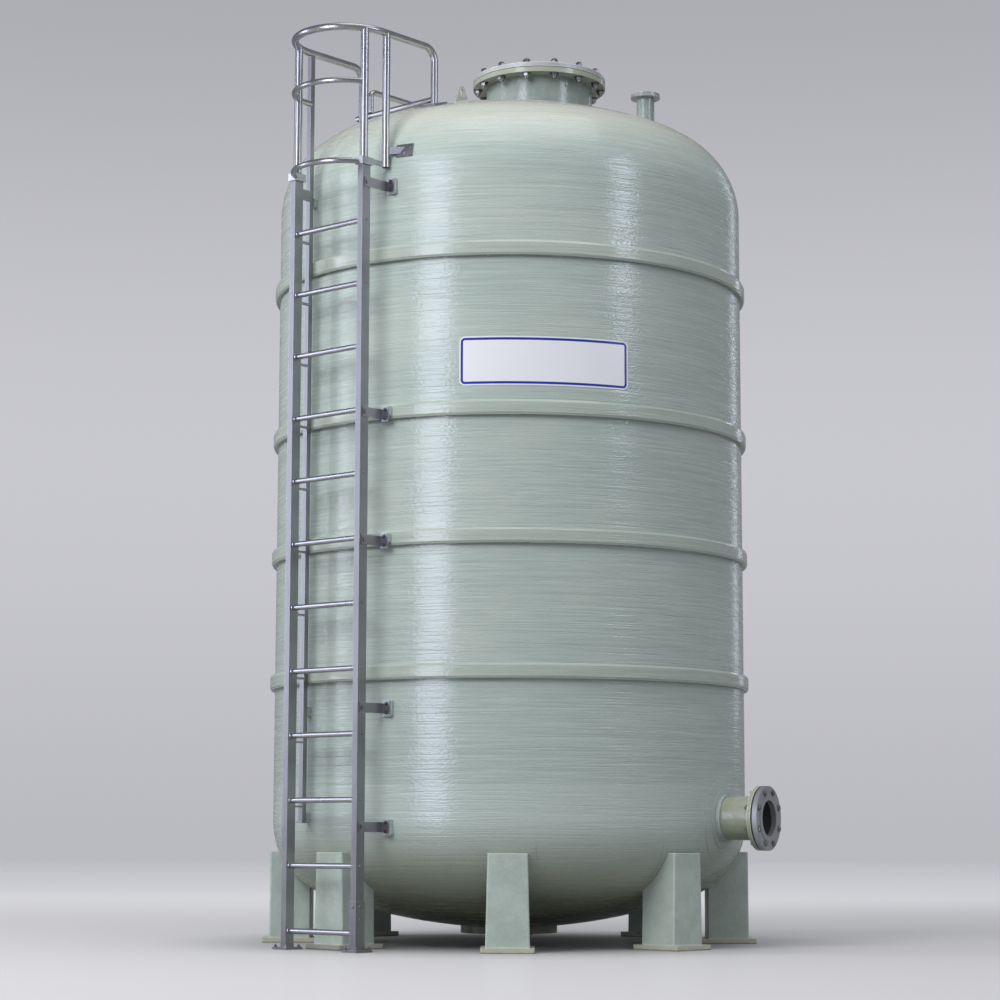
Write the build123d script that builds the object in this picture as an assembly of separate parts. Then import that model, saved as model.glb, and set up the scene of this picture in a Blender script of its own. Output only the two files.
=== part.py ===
from build123d import *
import math
import os

# Fibreglass water tank of about 12 cubic metres: an upright filament-wound cylinder with dished
# ends, four stiffening ribs, eight moulded legs, a bolted manway, a vent, lifting lugs, a side
# outlet with a metal flange, and a bolted stainless ladder with a walk-through handrail.
# Origin on the tank's axis at floor level, +Z up, the ladder on the -Y side. Millimetres.

# Shell
tank_radius = 1100
wall = 10
bond = 0.3
lower_tangent = 560
upper_tangent = 3420
dish_crown = 2500
dish_knuckle = 360
dome_crown = 2300
dome_knuckle = 380
dish_skirt = 150
dome_skirt = 40
rib_1_level = 1193
rib_2_level = 1776
rib_3_level = 2335
rib_4_level = 3042
rib_height = 66
rib_depth = 22
rib_chamfer = 10
pole_pad_radius = 225
pole_pad_bottom = 45

# Legs
leg_count = 8
leg_turn = -93.6
leg_overhang = 8
leg_height = 418
leg_top_width = 172
leg_foot_width = 191
leg_depth = 190
leg_wall = 9
leg_edge_radius = 8
foot_thickness = 22
foot_overhang_side = 19
foot_overhang_end = 34
foot_corner_radius = 8
anchor_hole = 14
anchor_spread = 88

# Manway
manway_offset = 215
manway_neck_radius = 260
manway_flange_radius = 325
manway_rise = 192
manway_flange_thickness = 24
manway_gasket_thickness = 3
manway_lid_thickness = 22
manway_lid_edge = 3
manway_bolt_count = 14
manway_bolt_circle = 300
manway_bolt_turn = 16.5
manway_bolt_radius = 10
manway_neck_below = 262
collar_width = 70
collar_thickness = 9

# Vent
vent_inset = 435
vent_angle = 29.4
vent_neck_radius = 42.5
vent_bore_radius = 36
vent_mouth_radius = 35
vent_flange_radius = 70
vent_rise = 176
vent_flange_thickness = 12
vent_ring_thickness = 7
vent_bolt_circle = 55
vent_hole = 12
vent_hole_count = 4

# Lifting lugs
lug_inset = 389
lug_turn = -66.6
lug_twist = 39
lug_width = 74
lug_top_width = 26
lug_height = 76
lug_thickness = 14
lug_slot_length = 34
lug_slot_width = 16

# Outlet, a DN 150 pattern
outlet_lift = 10
outlet_angle = 13.4
outlet_reach = 211
outlet_neck_radius = 97
outlet_neck_wall = 14
outlet_bore_radius = 80
outlet_flange_radius = 142.5
outlet_flange_thickness = 22
outlet_face_radius = 104
outlet_face_height = 3
outlet_back_thickness = 18
outlet_gasket_thickness = 8
outlet_bolt_count = 8
outlet_bolt_circle = 120
outlet_bolt_radius = 8
outlet_pad_radius = 134
outlet_pad_thickness = 4
outlet_collar_radius = 107
outlet_collar_length = 16
outlet_inner_reach = 20

# Fasteners
hole_play = 1
thread_play = 0.1
manway_bolt_head = 12
manway_nut_height = 16
manway_bolt_end = 8
outlet_bolt_head = 10
outlet_nut_height = 8
outlet_bolt_end = 2
flats_to_shank = 1.5

# Ladder
ladder_gap = 110
ladder_clear_width = 400
stringer_width = 30
stringer_depth = 50
stringer_wall = 3
stringer_rise = 45
stringer_foot = 10
rung_count = 12
rung_radius = 12.5
rung_wall = 2
first_rung = 79
rung_pitch = 282
rear_rail_size = 25
rear_rail_wall = 2.5
rear_rail_foot = 549
tie_width = 20
tie_thickness = 8
tie_drop = 26
bracket_1_level = 527
bracket_2_level = 1036
bracket_5_level = 3350
rib_bracket_drop = 14
bracket_bar = 6
bracket_bar_height = 44
bracket_plate_width = 46
bracket_plate_height = 64
bracket_stand = 4
bracket_bolt_radius = 6
pad_margin = 5
pad_corner_radius = 10
foot_plate_width = 90
foot_plate_depth = 98
foot_sleeve_height = 205

# Handrail
rail_radius = 16.5
post_radius = 18
hoop_tube_radius = 13
rail_wall = 2.5
rail_half_width = 232
rail_front = 138
rail_rise = 590
mid_hoop_rise = 345
low_hoop_drop = 21
dome_post_inset = 319
rail_bend = 62
side_post_radius = 17
shoulder_turn = -73.8
shoulder_rise = 92
shoulder_width = 84
shoulder_height = 58
shoulder_hole_spacing = 26
base_bar_radius = 13
base_bar_lift = 4
base_bar_overhang = 34
grab_rail_inset = 56
grab_rail_rise = 133
grab_rail_inner_reach = 345
grab_rail_bend = 26
dome_foot_size = 84
dome_foot_thickness = 8
clamp_width = 46
clamp_depth = 66
clamp_height = 34
clamp_bar_thickness = 8

# Sizes worked out from those above
rib_levels = (rib_1_level, rib_2_level, rib_3_level, rib_4_level)
leg_face_radius = tank_radius + leg_overhang
outlet_level = lower_tangent + outlet_lift
outlet_face = tank_radius + outlet_reach
outlet_flange_back = outlet_face - outlet_face_height - outlet_flange_thickness
outlet_stub_face = outlet_flange_back - outlet_gasket_thickness
bracket_3_level = rib_2_level - rib_bracket_drop
bracket_4_level = rib_3_level - rib_bracket_drop
bracket_levels = (bracket_1_level, bracket_2_level, bracket_3_level, bracket_4_level, bracket_5_level)
bracket_on_rib = (False, False, True, True, False)
ladder_reach = tank_radius + ladder_gap
stringer_top = upper_tangent + stringer_rise
stringer_centre = (ladder_clear_width + stringer_width) / 2
stringer_back = ladder_reach - stringer_depth / 2
rail_level = stringer_top + rail_rise
mid_hoop_level = stringer_top + mid_hoop_rise
low_hoop_level = stringer_top - low_hoop_drop
shoulder_level = upper_tangent + shoulder_rise
hoop_centre = ladder_reach + rail_front - rail_half_width
front_post_x = math.sqrt(rail_half_width**2 - (ladder_reach - hoop_centre) ** 2)
dome_post_reach = tank_radius - dome_post_inset
vent_reach = tank_radius - vent_inset
lug_reach = tank_radius - lug_inset


def wall_depth(x, radius):
    """Distance from the X axis to a round face of the given radius at the offset x."""
    return math.sqrt(radius**2 - x**2)


def crown_drop(crown, knuckle):
    """Distance from the tangent plane of a dished end back to its crown's centre."""
    return math.sqrt((crown - knuckle) ** 2 - (tank_radius - knuckle) ** 2)


def dome_height(reach):
    """Level of the dome's outer face at a distance from the tank's axis."""
    drop = crown_drop(dome_crown, dome_knuckle)
    border = (tank_radius - dome_knuckle) * dome_crown / (dome_crown - dome_knuckle)
    if reach <= border:
        return upper_tangent - drop + math.sqrt(dome_crown**2 - reach**2)
    return upper_tangent + math.sqrt(dome_knuckle**2 - (reach - tank_radius + dome_knuckle) ** 2)


# Sizes that follow the round faces of the tank
manway_flange_bottom = dome_height(0) + manway_rise
lid_bottom = manway_flange_bottom + manway_flange_thickness + manway_gasket_thickness
lid_top = lid_bottom + manway_lid_thickness
vent_flange_top = dome_height(vent_reach) + vent_rise
side_post_reach = wall_depth(rail_half_width, tank_radius + bond + side_post_radius)
rear_rail_back = wall_depth(rail_half_width - rear_rail_size / 2, tank_radius + rib_depth + bond)
rear_rail_reach = rear_rail_back + rear_rail_size / 2
grab_rail_level = dome_height(dome_post_reach) + grab_rail_rise


def end_outline(crown, knuckle, offset):
    """Edges of a dished end's half outline at an offset from its outer face, rim to pole."""
    drop = crown_drop(crown, knuckle)
    turn = math.atan2(drop, tank_radius - knuckle)
    knuckle_radius = knuckle + offset
    crown_radius = crown + offset
    centre_x = tank_radius - knuckle

    def on_knuckle(angle):
        return (centre_x + knuckle_radius * math.cos(angle), knuckle_radius * math.sin(angle))

    def on_crown(angle):
        return (crown_radius * math.cos(angle), crown_radius * math.sin(angle) - drop)

    knuckle_arc = ThreePointArc(on_knuckle(0), on_knuckle(turn / 2), on_knuckle(turn))
    half = (turn + math.pi / 2) / 2
    crown_arc = ThreePointArc(on_knuckle(turn), on_crown(half), (0, crown_radius - drop))
    return [knuckle_arc, crown_arc]


def dished_end(crown, knuckle, skirt):
    """A dished end of even wall, opening downwards, with its tangent plane at zero."""
    drop = crown_drop(crown, knuckle)
    inner_radius = tank_radius - wall
    edges = end_outline(crown, knuckle, 0) + end_outline(crown, knuckle, -wall)
    edges.append(Line((0, crown - drop), (0, crown - drop - wall)))
    rim = [(tank_radius, 0), (tank_radius, -skirt), (inner_radius, -skirt), (inner_radius, 0)]
    edges += Polyline(rim).edges()
    return revolve(Plane.XZ * make_face(edges), Axis.Z)


def end_body(crown, knuckle, offset):
    """The filled space inside a dished end, down to its tangent plane."""
    drop = crown_drop(crown, knuckle)
    middle = Polyline([(0, crown + offset - drop), (0, 0), (tank_radius + offset, 0)])
    edges = end_outline(crown, knuckle, offset) + middle.edges()
    return revolve(Plane.XZ * make_face(edges), Axis.Z)


def tank_body(offset):
    """The whole tank as a filled body, at an offset from its outer face."""
    middle = Pos(0, 0, (lower_tangent + upper_tangent) / 2) * Cylinder(
        tank_radius + offset, upper_tangent - lower_tangent
    )
    top = Pos(0, 0, upper_tangent) * end_body(dome_crown, dome_knuckle, offset)
    bottom = Pos(0, 0, lower_tangent) * Rot(180, 0, 0) * end_body(dish_crown, dish_knuckle, offset)
    return middle + top + bottom


def tube(radius, thickness, length):
    """A round tube standing on the origin."""
    ring = Circle(radius) - Circle(radius - thickness)
    return extrude(ring, length)


def square_tube(width, depth, thickness, length):
    """A rectangular tube standing on the origin."""
    ring = Rectangle(width, depth) - Rectangle(width - 2 * thickness, depth - 2 * thickness)
    return extrude(ring, length)


def bent_tube(path, radius, thickness):
    """A round tube swept along a path."""
    start = Plane(origin=path @ 0, z_dir=path % 0)
    ring = Circle(radius) - Circle(radius - thickness)
    return sweep(start * ring, path=path)


def hexagon_prism(radius, height):
    """A hexagon bar for a bolt or nut of the given shank radius, standing on the origin."""
    outline = RegularPolygon(radius * flats_to_shank, 6, major_radius=False, rotation=30)
    return extrude(outline, height)


def around(count, radius, turn, piece):
    """Copies of a piece set evenly on a circle about the Z axis."""
    copies = []
    for number in range(count):
        copies.append(Rot(0, 0, turn + number * 360 / count) * Pos(radius, 0, 0) * piece)
    return copies


def bolt(radius, head_height, shank_length):
    """A bolt with its head below the origin plane and its shank above it."""
    head = Pos(0, 0, -head_height) * hexagon_prism(radius, head_height)
    return head + extrude(Circle(radius), shank_length)


def nut(radius, height):
    """A hexagon nut standing on the origin plane."""
    return hexagon_prism(radius, height) - extrude(Circle(radius + thread_play), height)


envelope = tank_body(bond)


def laminate(tool, thickness):
    """A skin of resin and glass laid on the tank inside the outline of a tool solid."""
    return (tool & tank_body(bond + thickness)) - envelope


def place(location, shape):
    """A piece, or each piece of a set, moved to a location."""
    if isinstance(shape, list):
        return [location * piece for piece in shape]
    return location * shape


def on_outlet(shape):
    """Turns what stands along Z onto the outlet's axis, measured from the tank's axis."""
    return place(Pos(0, 0, outlet_level) * Rot(0, 0, outlet_angle) * Rot(0, 90, 0), shape)


def on_manway(shape):
    """Moves what stands on the origin onto the manway's axis."""
    return place(Pos(0, manway_offset, 0), shape)


def on_vent(shape):
    """Moves what stands on the origin onto the vent's axis."""
    return place(Rot(0, 0, vent_angle) * Pos(vent_reach, 0, 0), shape)


def make_shell_wall():
    """The wound cylinder between the skirts of the two ends."""
    low = lower_tangent + dish_skirt
    high = upper_tangent - dome_skirt
    return Pos(0, 0, low) * tube(tank_radius, wall, high - low)


def make_bottom_dish():
    """The lower end, with the outlet's hole through its skirt and knuckle."""
    dish = Rot(180, 0, 0) * dished_end(dish_crown, dish_knuckle, dish_skirt)
    hole = on_outlet(extrude(Circle(outlet_neck_radius + bond), outlet_face))
    return Pos(0, 0, lower_tangent) * dish - hole


def make_top_dome():
    """The upper end, with the holes for the manway and the vent."""
    dome = Pos(0, 0, upper_tangent) * dished_end(dome_crown, dome_knuckle, dome_skirt)
    dome -= on_manway(extrude(Circle(manway_neck_radius + bond), lid_top))
    return dome - on_vent(extrude(Circle(vent_neck_radius + bond), lid_top))


def make_rib(level):
    """A wound stiffening rib with chamfered edges."""
    inner = tank_radius + bond
    outer = tank_radius + rib_depth
    half = rib_height / 2
    points = [
        (inner, -half),
        (outer - rib_chamfer / 2, -half),
        (outer, -half + rib_chamfer),
        (outer, half - rib_chamfer),
        (outer - rib_chamfer / 2, half),
        (inner, half),
    ]
    section = Plane.XZ * make_face(Polyline(points, close=True))
    return Pos(0, 0, level) * revolve(section, Axis.Z)


def make_pole_pad():
    """The laminated closing pad under the pole of the lower end."""
    drop = crown_drop(dish_crown, dish_knuckle)
    rim = lower_tangent + drop - math.sqrt(dish_crown**2 - pole_pad_radius**2)
    disc = extrude(Circle(pole_pad_radius), rim - pole_pad_bottom)
    return Pos(0, 0, pole_pad_bottom) * disc - envelope


def make_leg(number):
    """A hollow moulded leg with its foot flange, cut to the lower end it is bonded to."""
    middle = leg_face_radius - leg_depth / 2
    top = Plane.XY.offset(leg_height)
    outside = loft(
        [
            RectangleRounded(leg_depth, leg_foot_width, leg_edge_radius),
            top * RectangleRounded(leg_depth, leg_top_width, leg_edge_radius),
        ]
    )
    inner_depth = leg_depth - 2 * leg_wall
    inside = loft(
        [
            Plane.XY.offset(foot_thickness) * Rectangle(inner_depth, leg_foot_width - 2 * leg_wall),
            Plane.XY.offset(leg_height - leg_wall) * Rectangle(inner_depth, leg_top_width - 2 * leg_wall),
        ]
    )
    foot = RectangleRounded(
        leg_depth + 2 * foot_overhang_end, leg_foot_width + 2 * foot_overhang_side, foot_corner_radius
    )
    foot = extrude(foot, foot_thickness)
    outer_strip = leg_depth / 2 + foot_overhang_end / 2
    for side in (-1, 0, 1):
        foot -= Pos(outer_strip, side * anchor_spread, 0) * extrude(Circle(anchor_hole / 2), foot_thickness)
    leg = Pos(middle, 0, 0) * (outside + foot - inside)
    return Rot(0, 0, leg_turn + number * 360 / leg_count) * leg - envelope


def make_manway_neck():
    """The manway's stub and flange, moulded in one."""
    low = manway_flange_bottom - manway_neck_below
    neck = Pos(0, 0, low) * tube(manway_neck_radius, wall, manway_neck_below)
    ring = Circle(manway_flange_radius) - Circle(manway_neck_radius - wall)
    flange = Pos(0, 0, manway_flange_bottom) * extrude(ring, manway_flange_thickness)
    return on_manway(neck + flange) - manway_holes()


def manway_holes():
    """The bolt holes through the manway's flange, gasket and lid."""
    hole = extrude(Circle(manway_bolt_radius + hole_play), lid_top)
    return on_manway(around(manway_bolt_count, manway_bolt_circle, manway_bolt_turn, hole))


def make_manway_collar():
    """The laminated collar that ties the manway's neck to the dome."""
    outer = manway_neck_radius + collar_width
    ring = Circle(outer) - Circle(manway_neck_radius + bond)
    tool = on_manway(Pos(0, 0, upper_tangent) * extrude(ring, lid_top - upper_tangent))
    return laminate(tool, collar_thickness)


def make_manway_gasket():
    """The full-face rubber ring under the lid."""
    ring = Circle(manway_flange_radius - manway_lid_edge) - Circle(manway_neck_radius - wall)
    level = manway_flange_bottom + manway_flange_thickness
    return on_manway(Pos(0, 0, level) * extrude(ring, manway_gasket_thickness)) - manway_holes()


def make_manway_lid():
    """The blind lid, a thick plate with eased edges."""
    lid = extrude(Circle(manway_flange_radius), manway_lid_thickness)
    lid = chamfer(lid.edges().sort_by(Axis.Z)[-1], manway_lid_edge)
    return on_manway(Pos(0, 0, lid_bottom) * lid) - manway_holes()


def make_manway_bolts():
    """The lid's bolts, heads below the flange."""
    length = lid_top - manway_flange_bottom + manway_nut_height + manway_bolt_end
    one = Pos(0, 0, manway_flange_bottom) * bolt(manway_bolt_radius, manway_bolt_head, length)
    return on_manway(around(manway_bolt_count, manway_bolt_circle, manway_bolt_turn, one))


def make_manway_nuts():
    """The nuts on top of the lid."""
    one = Pos(0, 0, lid_top) * nut(manway_bolt_radius, manway_nut_height)
    return on_manway(around(manway_bolt_count, manway_bolt_circle, manway_bolt_turn, one))


def vent_holes(height):
    """The bolt holes of the vent's flange."""
    hole = extrude(Circle(vent_hole / 2), height)
    return around(vent_hole_count, vent_bolt_circle, 45, hole)


def make_vent_neck():
    """The vent's stub and flange, moulded in one, open through its middle."""
    low = dome_height(vent_reach + vent_neck_radius) - 2 * wall
    high = vent_flange_top - vent_flange_thickness
    neck = Pos(0, 0, low) * tube(vent_neck_radius, vent_neck_radius - vent_bore_radius, high - low)
    ring = Circle(vent_flange_radius) - Circle(vent_mouth_radius)
    flange = extrude(ring, vent_flange_thickness) - vent_holes(vent_flange_thickness)
    return on_vent(neck + Pos(0, 0, high) * flange)


def make_vent_ring():
    """The metal backing ring under the vent's flange."""
    ring = Circle(vent_flange_radius) - Circle(vent_neck_radius + bond)
    plate = extrude(ring, vent_ring_thickness) - vent_holes(vent_ring_thickness)
    level = vent_flange_top - vent_flange_thickness - vent_ring_thickness
    return on_vent(Pos(0, 0, level) * plate)


def make_lug(side):
    """A lifting lug with a slot, its foot cut to the dome."""
    base = dome_height(lug_reach)
    buried = lug_width / 2
    points = [
        (-lug_width / 2, -buried),
        (lug_width / 2, -buried),
        (lug_width / 2, 0),
        (lug_top_width / 2, lug_height),
        (-lug_top_width / 2, lug_height),
        (-lug_width / 2, 0),
    ]
    outline = make_face(Polyline(points, close=True))
    outline = fillet(outline.vertices().group_by(Axis.Y)[-1], lug_top_width / 3)
    slot = Pos(0, lug_height * 0.55) * Rot(0, 0, 90) * SlotOverall(lug_slot_length, lug_slot_width)
    plate = extrude(outline - slot, lug_thickness / 2, both=True)
    standing = Pos(0, 0, base) * Rot(90, 0, 0) * plate
    turn = lug_turn + (0 if side == "front" else 180)
    return Rot(0, 0, turn) * Pos(lug_reach, 0, 0) * Rot(0, 0, -lug_twist) * standing - envelope


def outlet_holes():
    """The bolt holes through both outlet flanges and the gasket, straddling the centre lines."""
    hole = extrude(Circle(outlet_bolt_radius + hole_play), outlet_face)
    turn = 180 / outlet_bolt_count
    return on_outlet(around(outlet_bolt_count, outlet_bolt_circle, turn, hole))


def make_outlet_neck():
    """The outlet's stub with its own flange, moulded in one and passing through the shell."""
    start = wall_depth(outlet_neck_radius, tank_radius) - wall - outlet_inner_reach
    stub = Pos(0, 0, start) * tube(outlet_neck_radius, outlet_neck_wall, outlet_stub_face - start)
    ring = Circle(outlet_flange_radius) - Circle(outlet_neck_radius - outlet_neck_wall)
    flange = Pos(0, 0, outlet_stub_face - outlet_back_thickness) * extrude(ring, outlet_back_thickness)
    return on_outlet(stub + flange) - outlet_holes()


def make_outlet_pad():
    """The laminated pad and collar round the outlet's root."""
    ring = Circle(outlet_pad_radius) - Circle(outlet_neck_radius + bond)
    pad = laminate(on_outlet(extrude(ring, tank_radius + 2 * outlet_pad_thickness)), outlet_pad_thickness)
    ring = Circle(outlet_collar_radius) - Circle(outlet_neck_radius + bond)
    collar = on_outlet(extrude(ring, tank_radius + outlet_collar_length)) - envelope
    return pad + keep_outer(collar)


def keep_outer(shape):
    """The solid of a cut shape that lies outside the shell on the outlet's side."""
    return max(shape.solids(), key=lambda solid: math.hypot(solid.center().X, solid.center().Y))


def make_outlet_gasket():
    """The rubber ring between the outlet's two flanges."""
    ring = Circle(outlet_flange_radius - outlet_face_height) - Circle(outlet_neck_radius - outlet_neck_wall)
    gasket = Pos(0, 0, outlet_stub_face) * extrude(ring, outlet_gasket_thickness)
    return on_outlet(gasket) - outlet_holes()


def make_outlet_flange():
    """The loose metal flange with its raised face."""
    plate = extrude(Circle(outlet_flange_radius) - Circle(outlet_bore_radius), outlet_flange_thickness)
    face = extrude(Circle(outlet_face_radius) - Circle(outlet_bore_radius), outlet_face_height)
    flange = plate + Pos(0, 0, outlet_flange_thickness) * face
    return on_outlet(Pos(0, 0, outlet_flange_back) * flange) - outlet_holes()


def make_outlet_bolts():
    """The outlet's bolts, heads behind the moulded flange."""
    grip = outlet_back_thickness + outlet_gasket_thickness + outlet_flange_thickness
    one = bolt(outlet_bolt_radius, outlet_bolt_head, grip + outlet_nut_height + outlet_bolt_end)
    one = Pos(0, 0, outlet_stub_face - outlet_back_thickness) * one
    turn = 180 / outlet_bolt_count
    return on_outlet(around(outlet_bolt_count, outlet_bolt_circle, turn, one))


def make_outlet_nuts():
    """The nuts on the metal flange's front."""
    one = Pos(0, 0, outlet_flange_back + outlet_flange_thickness) * nut(outlet_bolt_radius, outlet_nut_height)
    turn = 180 / outlet_bolt_count
    return on_outlet(around(outlet_bolt_count, outlet_bolt_circle, turn, one))


def make_stringer(side):
    """One side rail of the ladder, a rectangular tube standing on its foot plate."""
    profile = square_tube(stringer_width, stringer_depth, stringer_wall, stringer_top - stringer_foot)
    return Pos(side * stringer_centre, -ladder_reach, stringer_foot) * profile


def make_rung(number):
    """A round rung welded between the side rails."""
    level = first_rung + number * rung_pitch
    rung = Rot(0, 90, 0) * tube(rung_radius, rung_wall, ladder_clear_width)
    return Pos(-ladder_clear_width / 2, -ladder_reach, level) * rung


def make_rear_rail():
    """The square tube behind the left side rail, running on up as a handrail post."""
    height = rail_level - rear_rail_foot
    rail = square_tube(rear_rail_size, rear_rail_size, rear_rail_wall, height)
    return Pos(-rail_half_width, -rear_rail_reach, rear_rail_foot) * rail - rail_clearance()


def make_rail_ties():
    """Short flat bars that tie the rear rail to the left side rail under each rung."""
    front = stringer_back
    back = rear_rail_reach + rear_rail_size / 2
    left = max(-stringer_centre - stringer_width / 2, -rail_half_width - rear_rail_size / 2)
    ties = []
    for number in range(rung_count):
        level = first_rung + number * rung_pitch - tie_drop
        if level > rear_rail_foot:
            bar = Box(tie_width, front - back, tie_thickness)
            ties.append(Pos(left + tie_width / 2, -(front + back) / 2, level) * bar)
    top = Box(tie_width, front - back, bracket_bar_height)
    ties.append(Pos(left + tie_width / 2, -(front + back) / 2, bracket_5_level + tie_drop) * top)
    return ties


def bracket_plate_back(on_rib):
    """Distance of a wall bracket's seat from the X axis, clear of the curved face behind it."""
    radius = tank_radius + (rib_depth if on_rib else 0)
    near = stringer_centre + stringer_width / 2 + bracket_bar - pad_margin
    return wall_depth(near, radius) + bracket_stand


def make_wall_brackets():
    """Folded flat-bar brackets from the right side rail to the wall."""
    inner = stringer_centre + stringer_width / 2
    front = ladder_reach + stringer_depth / 4
    brackets = []
    for level, on_rib in zip(bracket_levels, bracket_on_rib):
        back = bracket_plate_back(on_rib)
        arm = Pos(inner + bracket_bar / 2, -(front + back) / 2, level) * Box(
            bracket_bar, front - back, bracket_bar_height
        )
        plate = Pos(inner + bracket_plate_width / 2, -back - bracket_bar / 2, level) * Box(
            bracket_plate_width, bracket_bar, bracket_plate_height
        )
        plate -= Pos(inner + bracket_bar / 2, -back - bracket_bar / 2, level) * Box(
            bracket_bar, bracket_bar, bracket_plate_height
        )
        bolt_hole = Rot(0, 90, 0) * Cylinder(bracket_bolt_radius + hole_play, 4 * bracket_bar)
        arm -= Pos(inner + bracket_bar / 2, -ladder_reach, level) * bolt_hole
        brackets.append(arm + plate)
    brackets.append(make_shoulder_bracket())
    return brackets


def make_shoulder_bracket():
    """The bar from the side post to a curved plate with three holes on the dome's shoulder."""
    outward = Rot(0, 0, shoulder_turn)
    block = Box(4 * shoulder_width, shoulder_width, shoulder_height)
    plate = laminate(outward * Pos(tank_radius, 0, shoulder_level) * block, bracket_bar)
    for side in (-1, 0, 1):
        hole = Rot(0, 90, 0) * extrude(Circle(bracket_bolt_radius), 2 * tank_radius)
        lift = -shoulder_height / 4 if side == 0 else shoulder_height / 4
        plate -= outward * Pos(0, side * shoulder_hole_spacing, shoulder_level + lift) * hole
    seat = tank_radius - dome_knuckle + wall_depth(shoulder_rise, dome_knuckle)
    end = outward * Pos(seat, 0, 0)
    run_x = end.position.X - rail_half_width
    run_y = end.position.Y + side_post_reach
    bar = Box(math.hypot(run_x, run_y), bracket_bar, shoulder_height / 2)
    middle = Pos(rail_half_width + run_x / 2, -side_post_reach + run_y / 2, shoulder_level)
    bar = middle * Rot(0, 0, math.degrees(math.atan2(run_y, run_x))) * bar - envelope
    post = Pos(rail_half_width, -side_post_reach, shoulder_level)
    return plate + (bar - post * Cylinder(side_post_radius + bond, 2 * shoulder_height))


def make_bracket_pads():
    """Laminated pads between the curved shell and the flat plates of the brackets."""
    pads = []
    centre = stringer_centre + stringer_width / 2 + bracket_plate_width / 2
    for level, on_rib in zip(bracket_levels, bracket_on_rib):
        back = bracket_plate_back(on_rib)
        height = bracket_plate_height + 2 * pad_margin
        seat = envelope
        if on_rib:
            level += rib_bracket_drop
            height = rib_height - 2 * rib_chamfer
            seat = Pos(0, 0, level) * Cylinder(tank_radius + rib_depth + bond, 2 * rib_height)
        outline = RectangleRounded(bracket_plate_width + 2 * pad_margin, height, pad_corner_radius)
        block = extrude(outline, -(back - stringer_centre))
        pads.append(keep_outer(Pos(centre, -back, level) * Rot(90, 0, 0) * block - seat))
        if not on_rib:
            pads.append(make_rear_pad(level))
    return pads


def make_rear_pad(level):
    """A laminated pad between the shell and the rear rail."""
    outline = RectangleRounded(rear_rail_size + pad_margin, bracket_bar_height, pad_corner_radius / 2)
    block = extrude(outline, -(rear_rail_back - stringer_centre))
    lift = max(level, rear_rail_foot + bracket_bar_height / 2)
    return keep_outer(Pos(-rail_half_width, -rear_rail_back, lift) * Rot(90, 0, 0) * block - envelope)


def make_bracket_bolts():
    """Bolts through the right side rail that hold each bracket's arm."""
    inner = stringer_centre + stringer_width / 2 + bracket_bar
    bolts = []
    for level in bracket_levels:
        head = Rot(0, 90, 0) * hexagon_prism(bracket_bolt_radius, bracket_bolt_radius)
        shank = Rot(0, 90, 0) * extrude(Circle(bracket_bolt_radius), -bracket_bar)
        bolts.append(Pos(inner, -ladder_reach, level) * (head + shank))
    return bolts


def make_ladder_feet():
    """Foot plates under the side rails, the right one with a bolted sleeve round its rail."""
    feet = []
    for side in (-1, 1):
        plate = Pos(0, 0, stringer_foot / 2) * Box(foot_plate_width, foot_plate_depth, stringer_foot)
        if side > 0:
            outer = Rectangle(
                stringer_width + 2 * (bond + stringer_wall), stringer_depth + 2 * (bond + stringer_wall)
            )
            sleeve = outer - Rectangle(stringer_width + 2 * bond, stringer_depth + 2 * bond)
            plate += Pos(0, 0, stringer_foot) * extrude(sleeve, foot_sleeve_height)
            plate -= rung_slot(0)
        feet.append(Pos(side * stringer_centre, -ladder_reach, 0) * plate)
    return feet


def rung_slot(number):
    """The opening in the right foot sleeve that passes a rung."""
    level = first_rung + number * rung_pitch
    reach = stringer_width + stringer_wall
    return Pos(-reach, 0, level) * Rot(0, 90, 0) * extrude(Circle(rung_radius + hole_play), reach)


def hoop_point(x, level):
    """A point on the round front of the handrail."""
    return (x, -hoop_centre - math.sqrt(rail_half_width**2 - x**2), level)


def front_arc(level):
    """The round front of a hoop, from post to post."""
    middle = (0, -hoop_centre - rail_half_width, level)
    return ThreePointArc(hoop_point(front_post_x, level), middle, hoop_point(-front_post_x, level))


def rail_path():
    """Centre line of the top rail, up from one foot, round the front and down to the other."""
    low = dome_height(math.hypot(rail_half_width, dome_post_reach)) - rail_radius
    front = -hoop_centre - rail_half_width
    points = []
    for side in (1, -1):
        x = side * rail_half_width
        bend = [(x, -dome_post_reach, low), (x, -dome_post_reach, rail_level), (x, front, rail_level)]
        points += bend if side > 0 else bend[::-1]
    corner = rail_half_width - 1
    return FilletPolyline(points, radius=[rail_bend, corner, corner, rail_bend])


def rail_clearance():
    """The space that the top rail takes, used to cope the posts under it."""
    path = rail_path()
    start = Plane(origin=path @ 0, z_dir=path % 0)
    return sweep(start * Circle(rail_radius + bond), path=path)


def make_top_rail():
    """The bent tube of the walk-through handrail, with a leg down to the dome on each side."""
    return bent_tube(rail_path(), rail_radius, rail_wall) - tank_body(dome_foot_thickness + 2 * bond)


def make_front_posts():
    """Round posts from the tops of the side rails up to the handrail."""
    height = rail_level - stringer_top
    posts = []
    for side in (-1, 1):
        post = Pos(side * front_post_x, -ladder_reach, stringer_top) * tube(post_radius, rail_wall, height)
        posts.append(largest(post - rail_clearance()))
    return posts


def largest(shape):
    """The largest solid of a cut shape."""
    return max(shape.solids(), key=lambda solid: solid.volume)


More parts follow.
